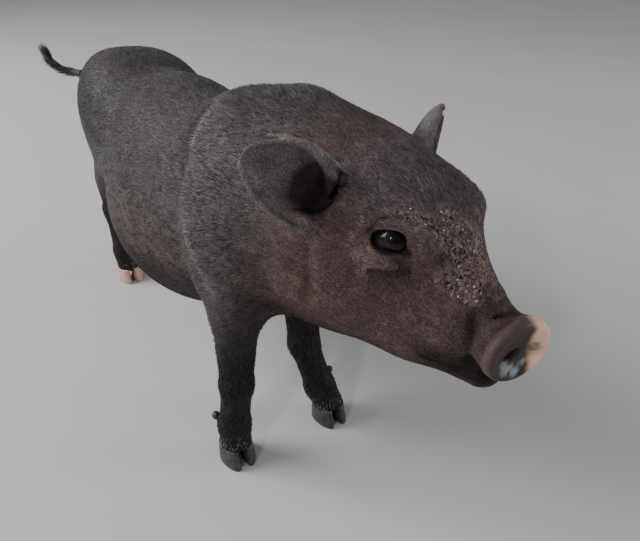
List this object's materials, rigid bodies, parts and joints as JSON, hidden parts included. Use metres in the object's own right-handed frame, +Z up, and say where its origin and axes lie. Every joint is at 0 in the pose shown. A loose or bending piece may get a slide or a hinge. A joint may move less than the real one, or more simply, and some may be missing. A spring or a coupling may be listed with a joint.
{
  "type": "piglet figure",
  "caption": "Young black pig standing still on all four feet with its head turned to its left, a life-size museum model.",
  "frame": {"origin": "on the floor under the middle of the model's bounding box", "axes": "+X the way the trunk points, towards the head; +Y the animal's left; +Z up"},
  "size_m": [0.4968, 0.1664, 0.2434],
  "materials": {
    "coat": "short dark bristles over grey-black skin",
    "leg_coat": "short bluish-black bristles",
    "face_coat": "thin brownish-black bristles",
    "ear_skin": "thin-haired matt skin",
    "nose_skin": "moist bare skin",
    "eye": "wet gloss",
    "hoof_dark": "satin horn",
    "hoof_pink": "satin horn"
  },
  "bodies": {
    "root": {"dewclaw_front_left_inner": "hoof_dark", "dewclaw_front_left_outer": "hoof_dark", "dewclaw_front_right_inner": "hoof_dark", "dewclaw_front_right_outer": "hoof_dark", "dewclaw_hind_left_inner": "hoof_pink", "dewclaw_hind_left_outer": "hoof_pink", "dewclaw_hind_right_inner": "hoof_pink", "dewclaw_hind_right_outer": "hoof_pink", "ear_left": "ear_skin", "ear_right": "ear_skin", "eye_left": "eye", "eye_right": "eye", "head": "face_coat", "hoof_front_left_inner": "hoof_dark", "hoof_front_left_outer": "hoof_dark", "hoof_front_right_inner": "hoof_dark", "hoof_front_right_outer": "hoof_dark", "hoof_hind_left_inner": "hoof_pink", "hoof_hind_left_outer": "hoof_pink", "hoof_hind_right_inner": "hoof_pink", "hoof_hind_right_outer": "hoof_pink", "leg_front_left": "leg_coat", "leg_front_right": "leg_coat", "leg_hind_left": "leg_coat", "leg_hind_right": "leg_coat", "neck": "coat", "nose": "nose_skin", "tail": "coat", "torso": "coat"}
  },
  "joints": []
}
